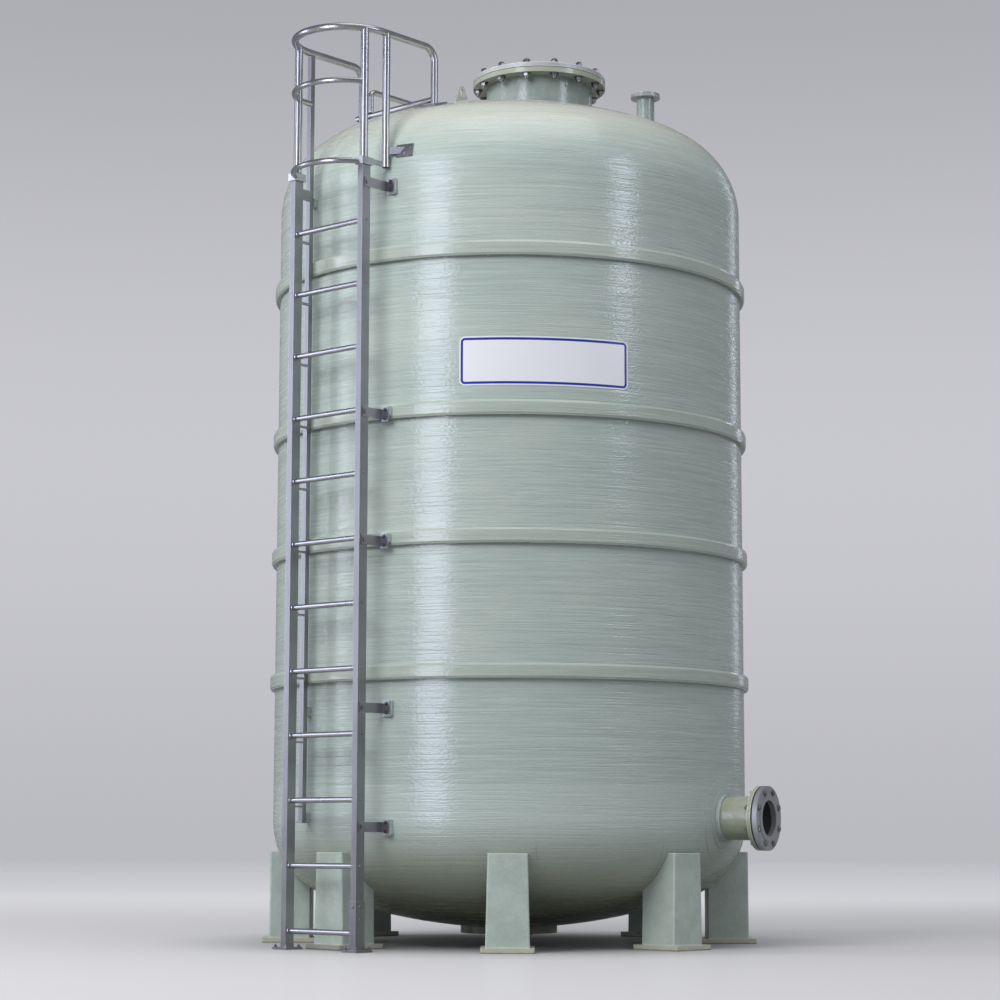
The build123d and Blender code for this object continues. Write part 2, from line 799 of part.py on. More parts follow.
def make_side_post():
    """The round post beside the shell on the right, with its bar from the side rail's clamp."""
    low = low_hoop_level - clamp_bar_thickness
    post = tube(side_post_radius, rail_wall, rail_level - low)
    post = largest(Pos(rail_half_width, -side_post_reach, low) * post - rail_clearance())
    start = ladder_reach - clamp_depth / 2
    end = side_post_reach + side_post_radius - rail_wall
    bar = Pos(rail_half_width, -(start + end) / 2, low + bracket_bar_height / 4)
    bar *= Box(clamp_bar_thickness, start - end, bracket_bar_height / 2)
    return post + bar


def make_hoop(level, joints):
    """A round hoop across the ladder's front between two posts or clamps."""
    hoop = bent_tube(front_arc(level), hoop_tube_radius, rail_wall)
    for joint in joints:
        hoop -= joint
    return largest(hoop)


def make_mid_hoop():
    """The middle hoop, with its straight return from the left post to the rear one."""
    posts = []
    for side in (-1, 1):
        space = Pos(side * front_post_x, -ladder_reach, mid_hoop_level) * Cylinder(
            post_radius + bond, 4 * post_radius
        )
        posts.append(space)
    hoop = make_hoop(mid_hoop_level, posts)
    start = ladder_reach - math.sqrt((post_radius + bond) ** 2 - hoop_tube_radius**2)
    end = rear_rail_reach + rear_rail_size / 2 + bond
    x = -rail_half_width + rear_rail_size / 2
    bar = Pos(x, -end, mid_hoop_level) * Rot(90, 0, 0) * tube(hoop_tube_radius, rail_wall, start - end)
    bar = largest(bar - posts[0])
    return [hoop, bar]


def make_low_hoop():
    """The lowest hoop with the clamp blocks that hold it on the side rails."""
    pieces = bent_tube(front_arc(low_hoop_level), hoop_tube_radius, rail_wall)
    for side in (-1, 1):
        clamp = Pos(side * stringer_centre, -ladder_reach, low_hoop_level) * Box(
            clamp_width, clamp_depth, clamp_height
        )
        pieces += clamp
    for side in (-1, 1):
        pieces -= Pos(side * stringer_centre, -ladder_reach, low_hoop_level) * Box(
            stringer_width + 2 * bond, stringer_depth + 2 * bond, 4 * clamp_height
        )
    return pieces


def make_base_bar():
    """The bar low over the dome that joins the feet of the handrail."""
    level = dome_height(dome_post_reach) + base_bar_radius + base_bar_lift
    length = 2 * rail_half_width + base_bar_overhang
    bar = Pos(-rail_half_width - base_bar_overhang, -dome_post_reach, level) * Rot(0, 90, 0)
    bar *= tube(base_bar_radius, rail_wall, length)
    pieces = []
    for side in (-1, 1):
        leg = Pos(side * rail_half_width, -dome_post_reach, level) * Cylinder(
            rail_radius + bond, 4 * rail_radius
        )
        bar -= leg
    pieces = sorted(bar.solids(), key=lambda solid: solid.center().X)
    return pieces[:2]


def make_grab_rail():
    """The short rail on the dome that leads from the left foot of the handrail to the manway."""
    x = -rail_half_width + grab_rail_inset
    bar_level = dome_height(dome_post_reach) + base_bar_radius + base_bar_lift
    low = bar_level + base_bar_radius + bond
    inner_foot = dome_height(math.hypot(x, grab_rail_inner_reach)) + dome_foot_thickness / 2
    path = FilletPolyline(
        [
            (x, -dome_post_reach, low),
            (x, -dome_post_reach, grab_rail_level),
            (x, -grab_rail_inner_reach, grab_rail_level),
            (x, -grab_rail_inner_reach, inner_foot - 20),
        ],
        radius=[grab_rail_bend, grab_rail_bend],
    )
    return bent_tube(path, base_bar_radius, rail_wall) - envelope


def make_rail_feet():
    """Curved foot plates on the dome under the handrail's two legs."""
    feet = []
    for side in (-1, 1):
        block = Box(dome_foot_size, dome_foot_size, 4 * dome_foot_size)
        reach = math.hypot(rail_half_width, dome_post_reach)
        tool = Pos(side * rail_half_width, -dome_post_reach, dome_height(reach)) * block
        feet.append(laminate(tool, dome_foot_thickness))
    return feet


def write(name, shape):
    """Writes one sub-part, a single solid or a set of separate ones, to its own file."""
    if isinstance(shape, list):
        solids = []
        for piece in shape:
            solids += piece.solids()
        shape = Compound(children=solids)
    export_step(shape, f"parts/{name}.step")


def main():
    os.makedirs("parts", exist_ok=True)
    write("shell_wall", make_shell_wall())
    write("bottom_dish", make_bottom_dish())
    write("top_dome", make_top_dome())
    for number, level in enumerate(rib_levels, 1):
        write(f"hoop_rib_{number}", make_rib(level))
    write("pole_pad", make_pole_pad())
    for number in range(leg_count):
        write(f"leg_{number + 1}", make_leg(number))
    write("manway_neck", make_manway_neck())
    write("manway_collar", make_manway_collar())
    write("manway_gasket", make_manway_gasket())
    write("manway_lid", make_manway_lid())
    write("manway_bolts", make_manway_bolts())
    write("manway_nuts", make_manway_nuts())
    write("vent_neck", make_vent_neck())
    write("vent_ring", make_vent_ring())
    write("lifting_lug_front", make_lug("front"))
    write("lifting_lug_rear", make_lug("rear"))
    write("outlet_neck", make_outlet_neck())
    write("outlet_pad", make_outlet_pad())
    write("outlet_gasket", make_outlet_gasket())
    write("outlet_flange", make_outlet_flange())
    write("outlet_bolts", make_outlet_bolts())
    write("outlet_nuts", make_outlet_nuts())
    write("stringer_left", make_stringer(-1))
    write("stringer_right", make_stringer(1))
    for number in range(rung_count):
        write(f"rung_{number + 1:02d}", make_rung(number))
    write("rear_rail", make_rear_rail())
    write("rail_ties", make_rail_ties())
    write("wall_brackets", make_wall_brackets())
    write("bracket_pads", make_bracket_pads())
    write("bracket_bolts", make_bracket_bolts())
    write("ladder_feet", make_ladder_feet())
    write("front_posts", make_front_posts())
    write("side_post", make_side_post())
    write("top_rail", make_top_rail())
    write("mid_hoop", make_mid_hoop())
    write("low_hoop", make_low_hoop())
    write("base_bar", make_base_bar())
    write("grab_rail", make_grab_rail())
    write("rail_feet", make_rail_feet())


main()
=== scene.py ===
import math
import random

import bpy
from mathutils import Matrix, Vector


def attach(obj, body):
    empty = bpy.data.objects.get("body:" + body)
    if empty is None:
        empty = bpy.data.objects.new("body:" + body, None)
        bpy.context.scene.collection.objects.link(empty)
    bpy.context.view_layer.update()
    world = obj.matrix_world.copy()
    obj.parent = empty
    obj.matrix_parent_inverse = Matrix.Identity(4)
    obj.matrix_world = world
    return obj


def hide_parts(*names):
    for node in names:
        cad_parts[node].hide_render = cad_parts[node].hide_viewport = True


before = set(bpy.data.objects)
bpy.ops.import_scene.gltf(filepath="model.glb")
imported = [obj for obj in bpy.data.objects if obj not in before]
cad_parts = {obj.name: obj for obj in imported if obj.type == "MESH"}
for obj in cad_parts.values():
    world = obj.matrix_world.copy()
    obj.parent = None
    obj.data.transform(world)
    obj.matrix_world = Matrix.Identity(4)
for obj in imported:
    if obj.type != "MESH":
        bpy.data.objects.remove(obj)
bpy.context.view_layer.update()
scene = bpy.context.scene
scene.view_settings.view_transform = "Standard"
random.seed(7)

# Camera
# It stands at knee height about twelve metres off, to the right of the ladder, and looks up at
# the tank as the photograph does.
camera_azimuth = 41.7
camera_turn = math.radians(camera_azimuth)
camera_distance = 11.8082
camera_height = 0.5039
camera_heading = math.radians(41.921)
camera_pitch = math.radians(90 + 7.576)
camera_roll = math.radians(0.118)

camera_data = bpy.data.cameras.new("camera")
camera_data.sensor_width = 36
camera_data.lens = 90.08
camera_data.clip_end = 200
camera = bpy.data.objects.new("camera", camera_data)
scene.collection.objects.link(camera)
scene.camera = camera
camera_place = Vector((math.sin(camera_turn), -math.cos(camera_turn), 0)) * camera_distance
camera_place.z = camera_height
camera.matrix_world = (
    Matrix.Translation(camera_place)
    @ Matrix.Rotation(camera_heading, 4, "Z")
    @ Matrix.Rotation(camera_pitch, 4, "X")
    @ Matrix.Rotation(camera_roll, 4, "Z")
)


# Wound shell and ribs
# Glass roving is laid in hoops and wetted with resin, so light and dark threads run round it.
# The gloss of its level ridges breaks the lights into short dashes.
class Value:
    """A socket with operators, so that maths on textures reads as plain expressions."""

    def __init__(self, tree, socket):
        self.tree = tree
        self.socket = socket

    def node(self, kind, settings=None, **inputs):
        """Adds a node, sets it up and fills the sockets, named by index or by name."""
        made = self.tree.nodes.new(kind)
        for name, value in (settings or {}).items():
            setattr(made, name, value)
        for name, value in inputs.items():
            key = int(name[1:]) if name[0] == "i" and name[1:].isdigit() else name.replace("_", " ")
            if isinstance(value, Value):
                self.tree.links.new(value.socket, made.inputs[key])
            else:
                made.inputs[key].default_value = value
        return made

    def math(self, operation, *others):
        inputs = {f"i{number}": other for number, other in enumerate((self, *others))}
        made = self.node("ShaderNodeMath", {"operation": operation}, **inputs)
        return Value(self.tree, made.outputs[0])

    def __add__(self, other):
        return self.math("ADD", other)

    __radd__ = __add__

    def __mul__(self, other):
        return self.math("MULTIPLY", other)

    __rmul__ = __mul__

    def __sub__(self, other):
        return self.math("SUBTRACT", other)

    def __rsub__(self, other):
        return self * -1 + other

    def step(self, low, high):
        """A smooth rise from 0 at low to 1 at high."""
        settings = {"interpolation_type": "SMOOTHSTEP", "clamp": True}
        made = self.node("ShaderNodeMapRange", settings, Value=self, From_Min=low, From_Max=high)
        return Value(self.tree, made.outputs[0])

    def scaled(self, x, y, z):
        """A vector scaled along each axis."""
        made = self.node("ShaderNodeMapping", None, Vector=self, Scale=(x, y, z))
        return Value(self.tree, made.outputs[0])

    def noise(self, scale, detail=4, roughness=0.5):
        inputs = {"Vector": self, "Scale": scale, "Detail": detail, "Roughness": roughness}
        made = self.node("ShaderNodeTexNoise", None, **inputs)
        return Value(self.tree, made.outputs[0])

    def parts(self):
        made = self.node("ShaderNodeSeparateXYZ", None, Vector=self)
        return [Value(self.tree, output) for output in made.outputs]

    def blend(self, low, high):
        """A colour between two, by this value."""
        made = self.node("ShaderNodeMix", {"data_type": "RGBA"}, i0=self, i6=low, i7=high)
        return Value(self.tree, made.outputs[2])


def new_material(name, **sockets):
    """A material with its shader's plain sockets set, its shader, and its object coordinates."""
    made = bpy.data.materials.new(name)
    made.use_nodes = True
    tree = made.node_tree
    shader = next(node for node in tree.nodes if node.type == "BSDF_PRINCIPLED")
    for socket, value in sockets.items():
        shader.inputs[socket.replace("_", " ")].default_value = value
    coordinates = tree.nodes.new("ShaderNodeTexCoord")
    return made, shader, Value(tree, coordinates.outputs["Object"])


def feed(shader, **links):
    """Links values to the shader's sockets."""
    for socket, value in links.items():
        value.tree.links.new(value.socket, shader.inputs[socket.replace("_", " ")])


def bump(height, distance):
    """A normal from a height, where distance is the height in metres of a rise of one."""
    made = height.node("ShaderNodeBump", None, Height=height, Distance=distance)
    return Value(height.tree, made.outputs[0])


def dress(material, *names):
    """Gives carried-over nodes a material."""
    for name in names:
        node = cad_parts[name]
        node.data.materials.clear()
        node.data.materials.append(material)


def wound_laminate(name, light, dark, pale, depth, far=None, start=0, end=1):
    """A threaded laminate with level grooves, which turns to a far colour from start to end."""
    material, shader, place = new_material(name, IOR=1.56)
    threads = place.scaled(4, 4, 120).noise(1.0, 4, 0.62)
    strands = place.scaled(1.2, 1.2, 60).noise(1.0, 4, 0.6)
    patches = place.scaled(1.3, 1.3, 2.8).noise(1.3, 4, 0.6)
    tone = threads.step(0.32, 0.68) * 0.55 + strands.step(0.32, 0.68) * 0.45
    colour = (patches.step(0.45, 0.72) * 0.45).blend(tone.blend(dark, light), pale)
    if far:
        height = place.parts()[2]
        colour = (height + strands * 0.06).step(start, end).blend(colour, far)
    winding = place.scaled(0.7, 0.7, 36).noise(1.0, 2, 0.5)
    grooves = (winding - 0.5).math("ABSOLUTE").step(0, 0.045)
    roving = place.scaled(1.5, 1.5, 80).noise(1.0, 2, 0.5)
    lines = (roving - 0.5).math("ABSOLUTE").step(0, 0.09)
    seams = (strands - 0.52).math("ABSOLUTE").step(0, 0.03)
    pores = place.scaled(62, 62, 90).noise(1.0, 2, 0.6)
    relief = grooves * 0.48 + lines * 0.20 + pores * 1.15
    gloss = threads * 0.05 - seams * 0.30 + 0.37
    feed(shader, Base_Color=colour, Roughness=gloss, Normal=bump(relief, depth))
    return material


shell_light = (0.396, 0.460, 0.442, 1)
shell_dark = (0.318, 0.380, 0.360, 1)
shell_pale = (0.445, 0.490, 0.452, 1)
shell_grain = 0.0010
wound_shell = wound_laminate("wound_shell", shell_light, shell_dark, shell_pale, shell_grain)
dress(wound_shell, "shell_wall", "bracket_pads")

rib_light = (0.385, 0.440, 0.405, 1)
rib_dark = (0.320, 0.375, 0.340, 1)
rib_pale = (0.420, 0.465, 0.425, 1)
rib_grain = 0.0007
wound_ribs = wound_laminate("wound_ribs", rib_light, rib_dark, rib_pale, rib_grain)
dress(wound_ribs, *(f"hoop_rib_{number}" for number in range(1, 5)))


# Dished ends
# The upper end turns paler and warmer over its crown, of mat laid by hand. The lower one turns a
# dark olive below its knuckle: painted shade for its shadowed underside.
dome_pale = (0.405, 0.415, 0.370, 1)
dome_turns = (3.50, 3.84)
dome = wound_laminate(
    "dome_laminate", shell_light, shell_dark, shell_pale, shell_grain, dome_pale, *dome_turns
)
dress(dome, "top_dome", "manway_collar")

# Painted shade: the dish is a dark olive below 0.22 m, fading to the shell's colour by 0.62 m.
dish_painted_shade = (0.265, 0.285, 0.215, 1)
dish_turns = (0.22, 0.62)
dish = wound_laminate(
    "dish_laminate", dish_painted_shade, dish_painted_shade, dish_painted_shade, shell_grain, shell_light, *dish_turns
)
dress(dish, "bottom_dish", "pole_pad", "outlet_pad")


# Label plate
# A thin printed plate with rounded corners, glued to the wall between the upper ribs. Inside
# its blue border line the field is bare.
patch_cell = 0.02
patch_sunk = 0.002
held_reach = 1.3


def patch(width, height, corner):
    """A flat patch with rounded corners, cut into cells so that it can follow a curved wall."""
    bpy.ops.object.select_all(action="DESELECT")
    bpy.ops.mesh.primitive_plane_add(size=1)
    bpy.ops.object.mode_set(mode="EDIT")
    bpy.ops.mesh.select_all(action="SELECT")
    bpy.ops.transform.resize(value=(width, height, 1))
    bpy.ops.mesh.bevel(offset=corner, segments=6, affect="VERTICES")
    for length, normal in ((width, Vector((1, 0, 0))), (height, Vector((0, 1, 0)))):
        count = round(length / patch_cell)
        for number in range(1, count):
            bpy.ops.mesh.select_all(action="SELECT")
            cut = normal * (number / count - 0.5) * length
            bpy.ops.mesh.bisect(plane_co=cut, plane_no=normal)
    bpy.ops.object.mode_set(mode="OBJECT")
    return bpy.context.object


def facing_out(polar, height):
    """The frame of a patch held off the tank: X along the wall, Y up and Z outwards."""
    upright = Matrix(((0, 0, 1), (1, 0, 0), (0, 1, 0))).to_4x4()
    turn = Matrix.Rotation(math.radians(polar), 4, "Z")
    return turn @ Matrix.Translation((held_reach, 0, height)) @ upright


def lay(piece, target, proud):
    """Drops a patch along its own Z onto a target, to stand a little proud of it."""
    wrap = piece.modifiers.new("wrap", "SHRINKWRAP")
    wrap.target = target
    wrap.wrap_method = "PROJECT"
    wrap.use_project_z = True
    wrap.use_positive_direction = False
    wrap.use_negative_direction = True
    wrap.offset = proud
    layer = piece.modifiers.new("layer", "SOLIDIFY")
    layer.thickness = proud + patch_sunk
    layer.offset = -1


def finish(piece, name, material, slot, *nodes):
    """Puts a piece's place into its mesh, dresses it and files it with the frame."""
    bpy.ops.object.select_all(action="DESELECT")
    piece.select_set(True)
    bpy.context.view_layer.objects.active = piece
    for modifier in list(piece.modifiers):
        bpy.ops.object.modifier_apply(modifier=modifier.name)
    bpy.ops.object.transform_apply(location=True, rotation=True, scale=True)
    bpy.ops.object.shade_smooth_by_angle(angle=math.radians(40))
    piece.name = name
    piece.data.materials.clear()
    piece.data.materials.append(material)
    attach(piece, "root")
    if nodes:
        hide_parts(*nodes)


tank_radius = 1.1
label_polar = -40.0
label_height = 2.541
label_width = 0.762
label_tall = 0.217
label_corner = 0.025
label_proud = 0.0012
label_chord = 2 * tank_radius * math.sin(label_width / tank_radius / 2)
label = patch(label_chord, label_tall, label_corner)
label.matrix_world = facing_out(label_polar, label_height)
lay(label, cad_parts["shell_wall"], label_proud)

line_outer = 0.008
line_inner = 0.019
line_blur = 0.0005
line_blue = (0.014, 0.032, 0.290, 1)
label_print, label_shader, label_place = new_material("label_print", Roughness=0.22, IOR=1.5)
label_x, label_y, label_z = label_place.parts()
around = (label_y.math("ARCTAN2", label_x) - math.radians(label_polar)) * tank_radius
across = (around.math("ABSOLUTE") - (label_width / 2 - label_corner)).math("MAXIMUM", 0)
above = (label_z - label_height).math("ABSOLUTE") - (label_tall / 2 - label_corner)
above = above.math("MAXIMUM", 0)
from_corner = (across * across + above * above).math("SQRT")
past_outer = from_corner.step(line_outer - line_blur, line_outer + line_blur)
past_inner = from_corner.step(line_inner - line_blur, line_inner + line_blur)
field = label_place.noise(3, 3, 0.5).blend((0.66, 0.67, 0.74, 1), (0.72, 0.73, 0.79, 1))
feed(label_shader, Base_Color=(past_outer * (1 - past_inner)).blend(field, line_blue))
finish(label, "label_plate", label_print, "frp_fitting")


# Legs
# Hollow moulded legs of chopped mat with a smooth resin skin, pale along their edges from wear and
# a painted highlight. A wet-laid patch ties each one's head to the lower end.
def edge_wear_and_highlight(place, reach):
    """How near a point is to a sharp edge, from 0 on a flat face to 1 on the edge; it masks pale
    edges that are partly wear and partly a painted highlight.
    """
    tree = place.tree
    bevel = place.node("ShaderNodeBevel", {"samples": 6}, Radius=reach)
    rounded = Value(tree, bevel.outputs["Normal"])
    flat = Value(tree, place.node("ShaderNodeNewGeometry").outputs["Normal"])
    settings = {"operation": "DOT_PRODUCT"}
    likeness = place.node("ShaderNodeVectorMath", settings, i0=rounded, i1=flat)
    return (1 - Value(tree, likeness.outputs["Value"])).step(0.0, 0.10)


def moulded_laminate(name, light, dark, roughness, worn_lit_edge=None, coloured=None):
    """A mottled moulding, pale at its edges from wear and a painted highlight, whose colour a piece
    can change by place.
    """
    material, shader, place = new_material(name, IOR=1.56)
    mottle = place.noise(9, 5, 0.65)
    strands = place.noise(70, 3, 0.7)
    tone = mottle.step(0.35, 0.65) * 0.65 + strands.step(0.35, 0.65) * 0.35
    wave = place.noise(14, 3, 0.5)
    pores = place.noise(110, 1, 0.5)
    skin = bump(wave * 0.9 + strands * 0.14 + pores * 0.12, 0.004)
    colour = tone.blend(dark, light)
    # Pale edges: partly wear, partly a painted highlight where the rounded edges catch light.
    if worn_lit_edge:
        wear_and_highlight = edge_wear_and_highlight(place, 0.009) * (strands.step(0.30, 0.50) * 0.4 + 0.6)
        colour = wear_and_highlight.blend(colour, worn_lit_edge)
    if coloured:
        colour = coloured(place, colour)
    feed(shader, Base_Color=colour, Roughness=mottle * 0.14 + roughness, Normal=skin)
    return material


leg_light = (0.425, 0.490, 0.455, 1)
leg_dark = (0.335, 0.400, 0.368, 1)
foot_pale = (0.430, 0.435, 0.370, 1)
# Leg edges are pale from wear and a painted highlight.
leg_worn_lit_edge = (0.640, 0.660, 0.590, 1)
# Painted shade: a dark brown band along the foot's lowest few millimetres, where it meets the
# floor.
foot_painted_shade = (0.230, 0.205, 0.150, 1)
leg_count = 8


def foot_coloured(place, colour):
    """The foot's flange is paler than the leg, with painted shade in a dark band along the floor.
    """
    height = place.parts()[2] + place.noise(30, 3, 0.6) * 0.006
    colour = height.step(0.023, 0.028).blend(foot_pale, colour)
    return height.step(0.006, 0.009).blend(foot_painted_shade, colour)


leg_laminate = moulded_laminate(
    "leg_laminate", leg_light, leg_dark, 0.24, leg_worn_lit_edge, foot_coloured
)
dress(leg_laminate, *(f"leg_{number}" for number in range(1, leg_count + 1)))


def joined(pieces):
    """Pieces made into one."""
    bpy.ops.object.select_all(action="DESELECT")
    for piece in pieces:
        piece.select_set(True)
    bpy.context.view_layer.objects.active = pieces[0]
    bpy.ops.object.join()
    return bpy.context.object


def repeat(model, places):
    """A model copied to each place, each copy with its own mesh, and joined into one piece."""
    bpy.ops.object.select_all(action="DESELECT")
    model.select_set(True)
    bpy.context.view_layer.objects.active = model
    for modifier in list(model.modifiers):
        bpy.ops.object.modifier_apply(modifier=modifier.name)
    bpy.ops.object.transform_apply(location=True, rotation=True, scale=True)
    copies = []
    for place in places:
        copy = model.copy()
        copy.data = model.data.copy()
        copy.matrix_world = place
        scene.collection.objects.link(copy)
        copies.append(copy)
    bpy.data.objects.remove(model)
    return joined(copies)


leg_turn = -93.6
lap_width = 0.242
lap_tall = 0.300
lap_corner = 0.030
lap_level = 0.325
lap_proud = 0.0018
lap = patch(lap_width, lap_tall, lap_corner)
lap.matrix_world = facing_out(leg_turn, lap_level)
lay(lap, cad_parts["bottom_dish"], lap_proud)
turns = [Matrix.Rotation(math.tau * number / leg_count, 4, "Z") for number in range(leg_count)]
finish(repeat(lap, turns), "leg_laps", dish, "frp_dish")


# Manway
# A moulded neck and flange under a thick blind lid, with a full-face gasket. Fourteen bolts come
# up through both, with domed heads on dark washers below and nuts on plain washers above.
def flange_coloured(level, upper):
    """A flange that has a colour of its own, above a level."""
    def coloured(place, colour):
        return place.parts()[2].step(level - 0.002, level).blend(colour, upper)
    return coloured


manway_y = 0.215
manway_flange_bottom = 4.1321
manway_lid_top = 4.1811
neck_light = (0.270, 0.315, 0.305, 1)
neck_dark = (0.200, 0.245, 0.235, 1)
manway_pale = (0.300, 0.320, 0.270, 1)
neck_laminate = moulded_laminate(
    "neck_laminate", neck_light, neck_dark, 0.10,
    coloured=flange_coloured(manway_flange_bottom, manway_pale),
)
dress(neck_laminate, "manway_neck")

lid_light = (0.380, 0.395, 0.425, 1)
lid_dark = (0.300, 0.315, 0.340, 1)
# Lid edges are pale from wear and a painted highlight.
lid_worn_lit_edge = (0.52, 0.53, 0.56, 1)
dress(moulded_laminate("lid_laminate", lid_light, lid_dark, 0.24, lid_worn_lit_edge), "manway_lid")

rubber, rubber_shader, rubber_place = new_material("gasket_rubber", Roughness=0.7)
rubber_tone = rubber_place.noise(60, 4, 0.6)
feed(
    rubber_shader,
    Base_Color=rubber_tone.blend((0.018, 0.018, 0.019, 1), (0.04, 0.04, 0.042, 1)),
    Normal=bump(rubber_tone, 0.0006),
)
dress(rubber, "manway_gasket", "outlet_gasket")


def stainless(name, bright, dull, stretch, roughness, worn_lit_edge=None):
    """Stainless steel with drawn or turned lines and light staining, and, where an edge colour is
    given, pale edges that are partly wear and partly a painted highlight.
    """
    material, shader, place = new_material(name, Metallic=1.0)
    lines = place.scaled(*stretch).noise(1.0, 4, 0.6)
    stains = place.noise(5, 4, 0.55)
    tone = lines * 0.5 + stains.step(0.3, 0.7) * 0.5
    colour = tone.blend(dull, bright)
    # Pale edges: partly wear, partly a painted highlight where the edges catch light.
    if worn_lit_edge:
        colour = (edge_wear_and_highlight(place, 0.0025) * 0.8).blend(colour, worn_lit_edge)
    feed(shader, Base_Color=colour, Roughness=lines * 0.10 + stains * 0.12 + roughness)
    return material


def bar(sides, radius, low, high, ease=0.0):
    """A round or hexagon bar along Z with its upper rim eased."""
    bpy.ops.object.select_all(action="DESELECT")
    bpy.ops.mesh.primitive_cylinder_add(
        vertices=sides, radius=radius, depth=high - low, location=(0, 0, (low + high) / 2)
    )
    piece = bpy.context.object
    if ease:
        bpy.ops.object.mode_set(mode="EDIT")
        bpy.ops.mesh.select_mode(type="EDGE")
        bpy.ops.mesh.select_all(action="DESELECT")
        bpy.ops.object.mode_set(mode="OBJECT")
        corners = piece.data.vertices
        for edge in piece.data.edges:
            edge.select = all(corners[index].co.z > 0 for index in edge.vertices)
        bpy.ops.object.mode_set(mode="EDIT")
        bpy.ops.mesh.bevel(offset=ease, segments=3)
        bpy.ops.object.mode_set(mode="OBJECT")
    return piece


def bolt_ring(centre, circle, first, count, turned_over):
    """Places round a bolt circle, each turned by hand, on the centre's Z or turned over."""
    places = []
    for number in range(count):
        turn = Matrix.Rotation(math.radians(first + number * 360 / count), 4, "Z")
        twist = Matrix.Rotation(random.uniform(0, math.pi / 3), 4, "Z")
        side = Matrix.Rotation(math.pi if turned_over else 0, 4, "X")
        places.append(centre @ turn @ Matrix.Translation((circle, 0, 0)) @ side @ twist)
    return places


bolt_steel = stainless(
    "bolt_steel", (0.42, 0.405, 0.39, 1), (0.21, 0.20, 0.19, 1), (90, 90, 90), 0.20
)
bolt_dark = stainless(
    "bolt_dark", (0.20, 0.195, 0.19, 1), (0.09, 0.088, 0.085, 1), (90, 90, 90), 0.24
)
manway_ring = (0.300, 16.5, 14)
over_lid = Matrix.Translation((0, manway_y, manway_lid_top))
under_flange = Matrix.Translation((0, manway_y, manway_flange_bottom))

nut = joined([
    bar(20, 0.0190, 0.0000, 0.0030, 0.0006),
    bar(6, 0.0173, 0.0030, 0.0185, 0.0022),
    bar(14, 0.0098, 0.0185, 0.0238, 0.0018),
])
nuts = repeat(nut, bolt_ring(over_lid, *manway_ring, turned_over=False))
finish(nuts, "manway_nut_set", bolt_steel, "fastener", "manway_nuts")

bolt = joined([
    bar(6, 0.0178, 0.0030, 0.0200, 0.0060),
    bar(14, 0.0098, 0.0200, 0.0270, 0.0030),
    bar(12, 0.0098, -0.0500, 0.0000),
])
bolts = repeat(bolt, bolt_ring(under_flange, *manway_ring, turned_over=True))
finish(bolts, "manway_bolt_set", bolt_steel, "fastener", "manway_bolts")

washer = bar(20, 0.0215, 0.0000, 0.0032, 0.0008)
washers = repeat(washer, bolt_ring(under_flange, *manway_ring, turned_over=True))
finish(washers, "manway_washers", bolt_dark, "fastener")


# Vent and lifting lugs
# A small moulded stub with a drilled flange on a metal backing ring, and two moulded lugs
# bonded to the dome, each with a slot for a shackle.
vent_flange_bottom = 4.0059
vent_pale = (0.250, 0.262, 0.250, 1)
vent_laminate = moulded_laminate(
    "vent_laminate", neck_light, neck_dark, 0.12,
    coloured=flange_coloured(vent_flange_bottom, vent_pale),
)
dress(vent_laminate, "vent_neck")

lug_light = (0.330, 0.345, 0.310, 1)
lug_dark = (0.250, 0.265, 0.235, 1)
# Lug edges are pale from wear and a painted highlight.
lug_worn_lit_edge = (0.52, 0.54, 0.49, 1)
lug_laminate = moulded_laminate("lug_laminate", lug_light, lug_dark, 0.30, lug_worn_lit_edge)
dress(lug_laminate, "lifting_lug_front", "lifting_lug_rear")

turned_steel = stainless(
    "turned_flange", (0.60, 0.61, 0.63, 1), (0.46, 0.47, 0.49, 1), (30, 30, 30), 0.50
)
dress(turned_steel, "vent_ring")


# Outlet
# A moulded stub with its flange, a black gasket and a loose steel flange, held by eight bolts
# with their nuts in front. Layers of wet mat spread its root over the wall.
outlet_polar = 13.4
outlet_level = 0.570
outlet_turn = math.radians(outlet_polar)
outlet_light = (0.350, 0.370, 0.300, 1)
outlet_dark = (0.280, 0.300, 0.235, 1)
# Stub edges are pale from wear and a painted highlight.
outlet_worn_lit_edge = (0.560, 0.575, 0.480, 1)
# Painted shade: inside the bore's radius the stub is painted near black.
bore_painted_shade = (0.060, 0.064, 0.066, 1)
bore_radius = 0.0832


def bore_shaded(place, colour):
    """The stub's bore is painted dark inside, as shade in its hollow."""
    x, y, z = place.parts()
    across = y * math.cos(outlet_turn) - x * math.sin(outlet_turn)
    above = z - outlet_level
    radius = (across * across + above * above).math("SQRT")
    return radius.step(bore_radius, bore_radius + 0.0008).blend(bore_painted_shade, colour)


outlet_laminate = moulded_laminate(
    "outlet_laminate", outlet_light, outlet_dark, 0.14, outlet_worn_lit_edge, bore_shaded
)
dress(outlet_laminate, "outlet_neck")
dress(turned_steel, "outlet_flange")

outlet_back = 1.260
outlet_front = 1.308
outlet_ring = (0.120, 22.5, 8)
on_outlet = (
    Matrix.Translation((0, 0, outlet_level))
    @ Matrix.Rotation(outlet_turn, 4, "Z")
    @ Matrix.Rotation(math.pi / 2, 4, "Y")
)
at_front = on_outlet @ Matrix.Translation((0, 0, outlet_front))
at_back = on_outlet @ Matrix.Translation((0, 0, outlet_back))

nut = joined([
    bar(18, 0.0150, 0.0000, 0.0014, 0.0004),
    bar(6, 0.0138, 0.0014, 0.0078, 0.0014),
    bar(12, 0.0078, 0.0078, 0.0100, 0.0010),
])
nuts = repeat(nut, bolt_ring(at_front, *outlet_ring, turned_over=False))
finish(nuts, "outlet_nut_set", bolt_steel, "fastener", "outlet_nuts")

